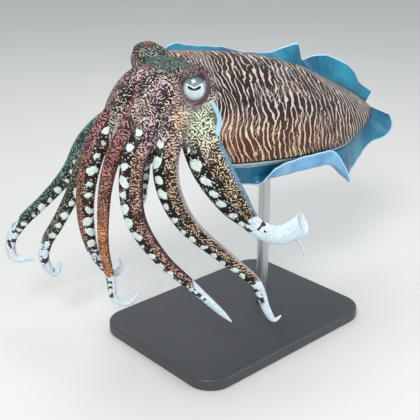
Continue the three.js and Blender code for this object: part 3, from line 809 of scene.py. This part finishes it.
def makeFin(name, side):
    rows = [(*row, *fins["flat"])[:5] for row in fins[name]]
    strips, steps = fins["strips"], fins["steps"]
    t = np.linspace(rows[0][0], rows[-1][0], steps + 1)
    width, lift, curl, fold = valuesAlong(rows, t).T

    def angleAt(share):
        return lift + curl * ramp(fold - fins["roll"], fold + fins["roll"], share)

    width = width + fins["rootDepth"]
    sweep = valuesAlong(fins["sweep"], t)[:, 0]
    rootSide = mantle["halfWidth"] * valuesAlong(mantle["rows"], t)[:, 0] - fins["rootDepth"]
    point = np.stack([mantle["length"] * t, side * rootSide, np.zeros(steps + 1)], axis=1)
    top, bottom, shares = [], [], np.linspace(0, 1, strips + 1)
    for share in shares:
        angle = angleAt(share)
        ripple = fins["ripple"] * share**3 * np.sin(2 * math.pi * t / fins["ripplePeriod"])
        thinner = fins["rootThickness"] - fins["edgeThickness"]
        thickness = fins["rootThickness"] - thinner * math.sqrt(share)
        normal = np.stack([-np.sin(angle) * np.sin(sweep), -np.sin(angle) * np.cos(sweep) * side,
                           np.cos(angle)], axis=1)
        top.append(point + normal * (thickness / 2 + ripple)[:, None])
        bottom.append(point + normal * (-thickness / 2 + ripple)[:, None])
        middle = angleAt(share + 0.5 / strips)
        point = point + (width / strips)[:, None] * np.stack(
            [np.cos(middle) * np.sin(sweep), np.cos(middle) * np.cos(sweep) * side, np.sin(middle)], axis=1)
    ring = np.array(top + bottom[::-1])  # round the section: out along the top, back along the underside
    sides = 2 * (strips + 1)
    shareRound = np.concatenate([shares, shares[::-1]])
    bm = tube(sides, steps)
    points = pointsOf(bm)
    step = points[:, 2].round().astype(int)
    turn = (np.arctan2(points[:, 1], points[:, 0]) % (2 * math.pi)) / (2 * math.pi) * sides
    turn = turn.round().astype(int) % sides
    moveTo(bm, mantleFront + ring[turn, step] @ mantleTurn.T)
    faceOut(bm)
    obj = meshObject(f"fin_{name}_part", bm, "fin_skin")
    under = np.where(turn > strips, 1.0, 0.0)
    share = shareRound[turn]
    note(obj.data, "finPlace", np.stack([t[step] * mantle["length"], share * width[step], under], axis=1))
    note(obj.data, "finShare", share)
    return obj


# Suckers in four rows down the inner face of each arm

suckers = {
    "first": 0.2, "last": 0.97, "rows": (-0.62, -0.22, 0.22, 0.62), "size": 0.16, "largest": 1.9,
    "smallest": 0.5, "gap": 1.457, "sunk": 0.35, "segments": 9,
}


def suckerCup():  # a cup of unit radius that opens along Z
    bm = bmesh.new()
    bmesh.ops.create_circle(bm, cap_ends=True, segments=suckers["segments"], radius=0.75)
    bottom = bm.faces[:]
    side = bmesh.ops.extrude_face_region(bm, geom=bottom)["geom"]
    rim = only(side, bmesh.types.BMVert)
    bmesh.ops.translate(bm, verts=rim, vec=(0, 0, 1.1))
    bmesh.ops.scale(bm, verts=rim, vec=(1.33, 1.33, 1))
    face = only(side, bmesh.types.BMFace)
    bmesh.ops.inset_region(bm, faces=face, thickness=0.3, depth=0)
    bmesh.ops.inset_region(bm, faces=face, thickness=0.12, depth=-0.45)
    faceOut(bm)
    bmesh.ops.triangulate(bm, faces=[f for f in bm.faces if len(f.verts) > 4])
    return bm


def makeSuckers():
    cup = suckerCup()
    cup.verts.index_update()
    shape = pointsOf(cup)
    faces = [[vert.index for vert in face.verts] for face in cup.faces]
    cup.free()
    points, polygons = [], []
    for name, table in armTables.items():
        run = suckers["first"] * table["length"]
        row = 0
        while run < suckers["last"] * table["length"]:
            share = run / table["length"]
            halfWidth, halfThickness, _ = tableAt(table, "sizes", share)
            radius = min(suckers["size"] * halfWidth, suckers["largest"])
            forward, across = tableAt(table, "forward", share), tableAt(table, "across", share)
            outward = tableAt(table, "outward", share)
            for k in (row % 2, row % 2 + 2):
                turn = -math.acos(suckers["rows"][k])
                place = armPoints(table, np.array([share]), np.array([turn]))[0]
                normal = across * math.cos(turn) / halfWidth + outward * math.sin(turn) / halfThickness
                normal = unit(normal)
                x = unit(np.cross(forward, normal))
                y = np.cross(normal, x)
                placed = place + radius * (shape @ np.stack([x, y, normal]) - normal * suckers["sunk"])
                polygons += [[i + len(points) * len(shape) for i in face] for face in faces]
                points.append(placed)
            run += suckers["gap"] * max(radius, suckers["smallest"])
            row += 1
    mesh = bpy.data.meshes.new("suckers")
    mesh.from_pydata(toFrame(np.concatenate(points)).tolist(), [], polygons)
    coat(mesh, "sucker")
    print("suckers", len(points), len(polygons))
    return addObject("suckers", mesh)


# Eyes

def makeEye(name, side):
    bm = bmesh.new()
    bmesh.ops.create_uvsphere(bm, u_segments=96, v_segments=64, radius=1)
    own = pointsOf(bm)
    moveTo(bm, onHead(eye["place"], side) + own * (eye["radius"] - eye["inset"]) @ np.stack(eyeAxes(side)))
    faceOut(bm)
    obj = meshObject(name, bm, "eyeball")
    note(obj.data, "gaze", own)
    return obj


# Materials

building = {"tree": None}  # the material or shared effect that is being made


class Wire:  # a node's output, which takes part in sums
    def __init__(self, socket):
        self.socket = socket

    def __add__(self, other):
        return calc("ADD", self, other)

    def __sub__(self, other):
        return calc("SUBTRACT", self, other)

    def __rsub__(self, other):
        return calc("SUBTRACT", other, self)

    def __mul__(self, other):
        return calc("MULTIPLY", self, other)

    def __abs__(self):
        return calc("ABSOLUTE", self)


def addNode(kind, output, inputs, **settings):  # gives back one output of the new node
    tree = building["tree"]
    node = tree.nodes.new(kind)
    for key, value in settings.items():
        setattr(node, key, value)
    for key, value in inputs.items():
        if isinstance(value, Wire):
            tree.links.new(value.socket, node.inputs[key])
        else:
            node.inputs[key].default_value = value
    return Wire(node.outputs[output])


def calc(operation, *values):  # sums with numbers
    return addNode("ShaderNodeMath", 0, dict(enumerate(values)), operation=operation)


def combine(operation, *values):  # sums with vectors
    return addNode("ShaderNodeVectorMath", 0, dict(enumerate(values)), operation=operation)


def scaled(vector, factor):
    return addNode("ShaderNodeVectorMath", 0, {0: vector, 3: factor}, operation="SCALE")


def join(x, y):
    return addNode("ShaderNodeCombineXYZ", 0, {0: x, 1: y})


def split(vector):
    node = addNode("ShaderNodeSeparateXYZ", 0, {0: vector}).socket.node
    return [Wire(output) for output in node.outputs]


def read(name, output="Vector"):  # a point attribute
    return addNode("ShaderNodeAttribute", output, {}, attribute_name=name)


def fade(value, low, high, outLow=0.0, outHigh=1.0):  # smooth step
    return addNode("ShaderNodeMapRange", 0, {0: value, 1: low, 2: high, 3: outLow, 4: outHigh},
                   interpolation_type="SMOOTHSTEP")


def blend(amount, first, second):  # of colours, a triple being a screen colour
    first, second = [(*paint(value), 1) if isinstance(value, tuple) else value for value in (first, second)]
    return addNode("ShaderNodeMix", 2, {0: amount, 6: first, 7: second}, data_type="RGBA")


def noiseAt(vector, size, detail, output="Fac", roughness=0.5):
    return addNode("ShaderNodeTexNoise", output, {"Vector": vector, "Scale": size, "Detail": detail,
                                                  "Roughness": roughness})


def patches(vector, size, detail, low, high, outLow=0.0, outHigh=1.0):  # noise with its contrast raised
    return fade(noiseAt(vector, size, detail), low, high, outLow, outHigh)


def spread(vector, size, detail):  # three noises round zero
    return combine("SUBTRACT", noiseAt(vector, size, detail, "Color"), (0.5, 0.5, 0.5))


def cells(vector, size, space="3D"):  # distance from the nearest of scattered points
    return addNode("ShaderNodeTexVoronoi", "Distance", {"Vector": vector, "Scale": size}, feature="F1",
                   voronoi_dimensions=space)


def waves(vector, size, frequency, evenness, turn, space="2D"):  # lines side by side, from -1 to 1
    orientation = {"2D": 4, "3D": 5}[space]
    phase = addNode("ShaderNodeTexGabor", "Phase", {
        "Vector": vector, "Scale": size, "Frequency": frequency, "Anisotropy": evenness,
        orientation: turn}, gabor_type=space)
    return calc("COSINE", phase * (2 * math.pi))


def startMaterial(name, shader):  # with the shader's fixed values
    material = bpy.data.materials.new(name)
    material.use_nodes = True
    building["tree"] = tree = material.node_tree
    tree.nodes.clear()
    surface = addNode("ShaderNodeBsdfPrincipled", 0, shader)
    output = tree.nodes.new("ShaderNodeOutputMaterial")
    tree.links.new(surface.socket, output.inputs[0])
    return surface.socket.node, addNode("ShaderNodeTexCoord", "Object", {})


def finish(surface, colour, roughness=None, height=None, strength=0.3, depth=0.3):  # depth in mm
    wires = {"Base Color": colour}
    if roughness:
        wires["Roughness"] = roughness
    if height:
        wires["Normal"] = addNode("ShaderNodeBump", 0, {"Strength": strength, "Distance": depth * mm,
                                                        "Height": height})
    for key, wire in wires.items():
        building["tree"].links.new(wire.socket, surface.inputs[key])


def startEffect(name, output, **numbers):  # a shared effect that takes a vector and numbers
    building["tree"] = tree = bpy.data.node_groups.new(name, "ShaderNodeTree")
    tree.interface.new_socket("Vector", in_out="INPUT", socket_type="NodeSocketVector")
    for key, value in numbers.items():
        tree.interface.new_socket(key, in_out="INPUT", socket_type="NodeSocketFloat").default_value = value
    tree.interface.new_socket(output, in_out="OUTPUT", socket_type="NodeSocketFloat")
    given = tree.nodes.new("NodeGroupInput")
    return [Wire(given.outputs[key]) for key in ("Vector", *numbers)]


def endEffect(wire):
    result = building["tree"].nodes.new("NodeGroupOutput")
    building["tree"].links.new(wire.socket, result.inputs[0])


def useEffect(name, **inputs):
    return addNode("ShaderNodeGroup", 0, inputs, node_tree=bpy.data.node_groups[name])


def makeLabyrinth():  # winding lines of even width all over a surface, from -1 to 1
    place, spacing, wander, straightness = startEffect("labyrinth", "Lines", Spacing=0.003, Wander=60.0,
                                                       Straightness=0.8)
    normal = addNode("ShaderNodeNewGeometry", "Normal", {})
    across = combine("CROSS_PRODUCT", normal, spread(place, wander, 0.0))
    endEffect(waves(place, calc("DIVIDE", 0.6667, spacing), 1.5, straightness, across, "3D"))


def makeMoistGrain():  # fine grain of wet skin
    place, size = startEffect("moist_grain", "Height", Scale=900.0)
    endEffect(noiseAt(place, size * 0.22, 2.0) * 1.6 + noiseAt(place, size, 3.0))


def makeMantleSkin():
    surface, place = startMaterial("mantle_skin", {"Specular IOR Level": 0.25})
    t, fromFin, _ = split(read("bodyPlace"))
    wobble = scaled(spread(place, 95.0, 3.0), fade(t, 0.5, 0.92, 1.0, 0.3))
    where = combine("ADD", read("zebraPlace"), combine("MULTIPLY", wobble, (1.05, 1.3, 0.0)))
    turn = patches(place, 20.0, 1.0, 0.3, 0.7, -0.2, 0.2)
    # lines thicken and run together in small stars here and there
    star = fade(cells(where, 0.24, "2D"), 0.13, 0.02, 0.0, 1.1)
    thick = patches(place, 60.0, 3.0, 0.33, 0.68, 0.92, 0.5) + fade(t, 0.5, 0.95, 0.0, -0.25)
    lines = fade(waves(where, 0.5, 2.0, 0.9, turn) - thick + star, -0.12, 0.16)
    # thin twigs between the main lines
    twig = fade(waves(where, 1.1, 2.0, 0.75, turn * -2.2), 0.62, 0.86)
    twig = twig * patches(place, 45.0, 1.0, 0.5, 0.62) * fade(t, 0.7, 0.5, 0.0, 0.7)
    lines = calc("MAXIMUM", lines, twig)
    # pinkish cream over black on the back, warm cream over red-brown low down in front
    lowSide = fade(fromFin, 60.0, 12.0) * fade(t, 0.72, 0.12)
    dark = blend(fade(fromFin, 75.0, 22.0), (16, 12, 15), (40, 22, 20))
    dark = blend(lowSide, dark, (74, 34, 26))
    tint = patches(place, 34.0, 2.0, 0.35, 0.7)
    pale = blend(tint, (202, 188, 180), (204, 176, 162))
    pale = blend(lowSide, pale, blend(tint, (228, 206, 158), (220, 182, 146)))
    pale = blend(fade(t, 0.7, 0.98), pale, (186, 180, 170))
    colour = blend(lines, dark, pale)
    specks = patches(place, 1300.0, 1.0, 0.6, 0.7, 0.0, 0.22)
    colour = blend(specks * (1.0 - lines), colour, (178, 150, 138))
    # the fins' root: a white line beside the fin, then a dark one
    edge = abs(fromFin)
    darkLine = fade(edge, 1.2, 1.7) * fade(edge + noiseAt(place, 120.0, 1.0) * 1.2, 4.6, 3.8)
    colour = blend(darkLine, colour, (14, 12, 22))
    colour = blend(fade(edge, 1.6, 1.2), colour, (196, 214, 228))
    # belly and the rim's pale blue edge
    belly = blend(patches(place, 160.0, 3.0, 0.4, 0.7), (158, 166, 172), (200, 202, 200))
    colour = blend(fade(fromFin, -1.0, -2.5), colour, belly)
    rim = read("rimDistance", "Fac") + noiseAt(place, 260.0, 2.0) * 3.4
    blue = blend(noiseAt(place, 70.0, 2.0), (120, 176, 206), (190, 214, 226))
    colour = blend(fade(rim, 6.2, 3.6), colour, blue)
    grain = useEffect("moist_grain", Vector=place, Scale=700.0)
    finish(surface, colour, fade(grain, 0.8, 1.8, 0.34, 0.52), lines * 1.1 + grain)


def makeHeadSkin():
    surface, place = startMaterial("head_skin", {"Specular IOR Level": 0.25})
    dark, pale = read("darkColour", "Color"), read("paleColour", "Color")
    win, plain, groove = split(read("skinMix"))
    blotch, tip, oral = split(read("armMix"))
    count, beside, armNumber = split(read("spotPlace"))
    maze = useEffect("labyrinth", Vector=place, Spacing=0.0024, Wander=150.0, Straightness=0.62)
    uneven = patches(place, 90.0, 2.0, 0.3, 0.7, -0.4, 0.4)
    breaks = patches(place, 430.0, 1.0, 0.3, 0.7, -0.5, 0.42)
    lines = fade(maze + win + uneven + breaks, -0.14, 0.16)
    lines = lines * (1.0 - plain * 0.75) + plain * 0.45
    colour = blend(lines, dark, pale)
    # a row of pale blotches on dark skin with small dots between
    cell = calc("FLOOR", count)
    chance = addNode("ShaderNodeTexWhiteNoise", "Color", {0: join(cell, armNumber)}, noise_dimensions="3D")
    slide, drift, large = split(combine("SUBTRACT", chance, (0.5, 0.5, 0.5)))
    x = slide * 0.9 + (count - cell - 0.5) * blotches["spacing"] + drift * beside * 1.1
    y = drift * 0.7 + beside
    ragged = scaled(spread(place, 190.0, 1.0), 1.1)
    # an angular outline: a square with its corners cut
    wide, high, _ = split(combine("ABSOLUTE", combine("ADD", join(x, y), ragged)))
    reach = calc("MAXIMUM", calc("MAXIMUM", wide, high) * 1.08, (wide + high) * 0.76)
    spot = fade(reach - (large * 0.9 + 0.95), 0.1, -0.06) * fade(blotch, 0.2, 0.6)
    dots = cells(place, 360.0)
    band = blend(fade(dots, 0.31, 0.21), combine("MULTIPLY", dark, (0.5, 0.5, 0.55)), (196, 198, 184))
    colour = blend(fade(blotch, 0.45, 0.75), colour, band)
    bluish = blend(noiseAt(place, 400.0, 1.0), (186, 214, 208), (232, 238, 232))
    colour = blend(spot, colour, bluish)
    # white ends with a few dark blots on the same side
    blots = patches(place, 190.0, 1.0, 0.48, 0.52) * (fade(beside, -1.7, -1.3) * fade(tip, 0.995, 0.9))
    white = blend(noiseAt(place, 120.0, 2.0), (178, 204, 220), (230, 236, 238))
    white = blend(blots, white, (62, 46, 54))
    patchy = noiseAt(place, 130.0, 1.0) * 0.9 + (tip - 0.45)
    colour = blend(fade(patchy, 0.22, 0.34), colour, white)
    inner = blend(patches(place, 300.0, 2.0, 0.4, 0.65), (142, 156, 164), (196, 202, 200))
    colour = blend(oral, colour, inner)
    webs = blend(fade(dots, 0.42, 0.25), (98, 60, 82), (200, 180, 192))
    colour = blend(groove * 0.6, colour, webs)
    colour = scaled(colour, patches(place, 500.0, 2.0, 0.3, 0.7, 0.86, 1.08))
    grain = useEffect("moist_grain", Vector=place, Scale=800.0)
    finish(surface, colour, fade(grain, 0.8, 1.8, 0.34, 0.54), (lines + spot) * 0.9 + grain, 0.4, 0.4)


def makeFinSkin():
    surface, place = startMaterial("fin_skin", {"Specular IOR Level": 0.4})
    along, out, under = split(read("finPlace"))
    streaks = noiseAt(join(along * 0.9, out * 0.012), 1.0, 2.0, roughness=0.6)
    teal = blend(patches(place, 24.0, 2.0, 0.35, 0.7), (6, 84, 116), (24, 128, 158))
    teal = blend(fade(streaks, 0.4, 0.8, 0.0, 0.25), teal, (70, 160, 186))
    light = blend(patches(place, 40.0, 2.0, 0.3, 0.7), (92, 152, 196), (136, 186, 220))
    colour = blend(under, teal, light)
    colour = blend(fade(read("finShare", "Fac"), 0.945, 0.975), colour, (176, 214, 232))
    colour = blend(fade(out, 8.0, 5.6), colour, (20, 70, 96))
    grain = useEffect("moist_grain", Vector=place, Scale=600.0)
    finish(surface, colour, fade(grain, 0.8, 1.8, 0.28, 0.46), streaks * 0.8 + grain, 0.2)


pupil = {"middle": (-0.07, -0.2), "half": 0.4, "drop": 0.55, "rimGap": 0.12}


def makeEyeball():
    surface, place = startMaterial("eyeball", {"Roughness": 0.16, "Coat Weight": 0.6,
                                               "Coat Roughness": 0.04})
    x, y, z = split(read("gaze"))
    x, y = x - pupil["middle"][0], y - pupil["middle"][1]
    wide, half = abs(x), pupil["half"]
    # a wide V: two slots that slope up from its low middle
    off = y - (calc("POWER", wide, 1.2) * pupil["drop"] - 0.02)
    slot = fade(wide, half, half * 0.72) * fade(wide, 0.02, 0.2, 0.058, 0.088)
    black = fade(abs(off) - slot, 0.012, -0.012) * fade(z, 0.1, 0.3) * fade(wide, half, half - 0.02)
    whiteRim = fade(abs(off - pupil["rimGap"]), 0.042, 0.016) * fade(wide, 0.5, 0.42)
    bowl = calc("SQRT", x * x + y * y)
    swirl = noiseAt(join(x * 1.2, bowl * 9.0), 1.3, 2.0)
    silver = blend(fade(swirl, 0.3, 0.7), (174, 196, 204), (216, 228, 232))
    shadow = blend(patches(place, 500.0, 3.0, 0.3, 0.7), (88, 112, 118), (138, 164, 166))
    colour = blend(fade(off, 0.1, 0.16), silver, shadow)
    colour = blend(fade(bowl, 0.44, 0.66), colour, (84, 100, 112))
    colour = blend(fade(bowl, 0.64, 0.74), colour, (26, 30, 36))
    colour = blend(whiteRim, colour, (236, 244, 246))
    colour = blend(black, colour, (4, 5, 8))
    finish(surface, colour, fade(swirl, 0.3, 0.7, 0.1, 0.24))


def makeSuckerSkin():
    surface, place = startMaterial("sucker", {"Roughness": 0.4})
    colour = blend(patches(place, 500.0, 2.0, 0.4, 0.6), (186, 190, 190), (224, 220, 212))
    finish(surface, colour, None, useEffect("moist_grain", Vector=place, Scale=1200.0), 0.3, 0.2)


def makeStandFinishes():
    surface, place = startMaterial("brushed_steel", {"Metallic": 1.0, "Roughness": 0.3})
    streaks = noiseAt(combine("MULTIPLY", place, (1.0, 1.0, 0.03)), 2600.0, 2.0)
    colour = blend(streaks, (168, 170, 172), (206, 208, 210))
    finish(surface, colour, fade(streaks, 0.3, 0.7, 0.22, 0.4), streaks, 0.15, 0.1)

    surface, place = startMaterial("satin_paint", {"Roughness": 0.4})
    colour = blend(noiseAt(place, 9.0, 3.0), (58, 60, 63), (66, 68, 71))
    peel = noiseAt(place, 900.0, 2.0)
    finish(surface, colour, fade(peel, 0.3, 0.7, 0.36, 0.46), peel, 0.12, 0.2)

    surface, place = startMaterial("studio_floor", {"Roughness": 0.7})
    finish(surface, blend(noiseAt(place, 3.0, 3.0), (214, 214, 212), (222, 222, 220)))


# Stand

def makeRod():
    bm = bmesh.new()
    bmesh.ops.create_circle(bm, cap_ends=True, segments=64, radius=stand["rodRadius"])
    top = only(bmesh.ops.extrude_face_region(bm, geom=bm.faces[:])["geom"], bmesh.types.BMVert)
    bmesh.ops.translate(bm, verts=top, vec=(0, 0, stand["rodTop"] - stand["rodBottom"]))
    bmesh.ops.translate(bm, verts=bm.verts, vec=(*stand["rodPlace"], stand["rodBottom"]))
    faceOut(bm)
    obj = meshObject("rod", bm, "brushed_steel")
    obj.data.set_sharp_from_angle(angle=math.radians(40))
    return obj


def makeBase():
    bm = bmesh.new()
    bmesh.ops.create_cube(bm, size=1)
    bmesh.ops.scale(bm, verts=bm.verts, vec=(stand["length"], stand["width"], stand["thickness"]))
    for upright, offset, segments in ((True, stand["corner"], 16), (False, stand["bevel"], 4)):
        edges = [edge for edge in bm.edges
                 if (abs(edge.verts[0].co.z - edge.verts[1].co.z) > 1e-6) == upright]
        bmesh.ops.bevel(bm, geom=edges, offset=offset, offset_type="OFFSET", affect="EDGES",
                        segments=segments, profile=0.5, material=-1)
    bmesh.ops.translate(bm, verts=bm.verts, vec=(*stand["baseMiddle"], stand["thickness"] / 2))
    faceOut(bm)
    obj = meshObject("base", bm, "satin_paint")
    obj.data.set_sharp_from_angle(angle=math.radians(50))
    return obj


# Camera, floor and lights

studio = {
    "camera": (-545.4, -541.2, 430), "looks": (0.6243, 0.6855, -0.3746), "lens": 68.57, "sensor": 36,
    "floor": 6.0, "world": 0.62, "sky": (0.88, 0.92, 0.95),
    # place from the stand in metres, size, power, colour
    "lights": {"key": ((-1.15, -0.75, 1.35), 0.6, 20, (1.0, 0.985, 0.96)),
               "fill": ((0.75, -1.3, 0.7), 1.0, 7, (0.92, 0.97, 1.0)),
               "top": ((0.2, 0.5, 1.6), 1.0, 9, (1.0, 1.0, 1.0))},
}


def makeStudio():
    camera = bpy.data.cameras.new("camera")
    camera.lens, camera.sensor_width = studio["lens"], studio["sensor"]
    camera.clip_start, camera.clip_end = 0.01, 30
    obj = addObject("camera", camera)
    obj.location = toFrame(studio["camera"])
    obj.rotation_euler = Vector(studio["looks"]).to_track_quat("-Z", "Y").to_euler()
    scene.camera = obj
    bm = bmesh.new()
    bmesh.ops.create_grid(bm, x_segments=1, y_segments=1, size=studio["floor"] / mm)
    meshObject("floor", bm, "studio_floor")
    for name, (place, size, power, colour) in studio["lights"].items():
        light = bpy.data.lights.new(name, "AREA")
        light.shape, light.size, light.energy, light.color = "DISK", size, power, colour
        lamp = addObject(name, light)
        lamp.location = place
        lamp.rotation_euler = (Vector((0, 0, 0.17)) - Vector(place)).to_track_quat("-Z", "Y").to_euler()
    world = bpy.data.worlds.new("studio")
    world.use_nodes = True
    background = world.node_tree.nodes["Background"]
    background.inputs[0].default_value = (*studio["sky"], 1)
    background.inputs[1].default_value = studio["world"]
    scene.world = world
    scene.view_settings.view_transform = "Standard"


for make in (makeLabyrinth, makeMoistGrain, makeMantleSkin, makeHeadSkin, makeFinSkin, makeEyeball,
             makeSuckerSkin, makeStandFinishes, makeStudio):
    make()
print("materials made")

parts = [makeFlesh(), makeMantle(), makeFunnel(), makeFin("left", -1), makeFin("right", 1)]
skin = parts[0]
with bpy.context.temp_override(active_object=skin, object=skin, selected_objects=parts,
                               selected_editable_objects=parts):
    bpy.ops.object.join()
skin.name = skin.data.name = "skin"
print("skin joined", len(skin.data.polygons))

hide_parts("mantle", "head", "funnel", "fin_left", "fin_right",
            *(f"arm_{name}_{length}" for name in arms for length in ("base", "mid", "tip")))
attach(skin, "root")
for name, side in (("eye_left", -1), ("eye_right", 1)):
    ball = makeEye(name.replace("eye", "eyeball"), side)
    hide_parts(name)
    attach(ball, "root")
cups = makeSuckers()
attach(cups, "root")
for piece, node in ((makeRod(), "stand_rod"), (makeBase(), "stand_base")):
    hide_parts(node)
    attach(piece, "root")
print("pieces made")
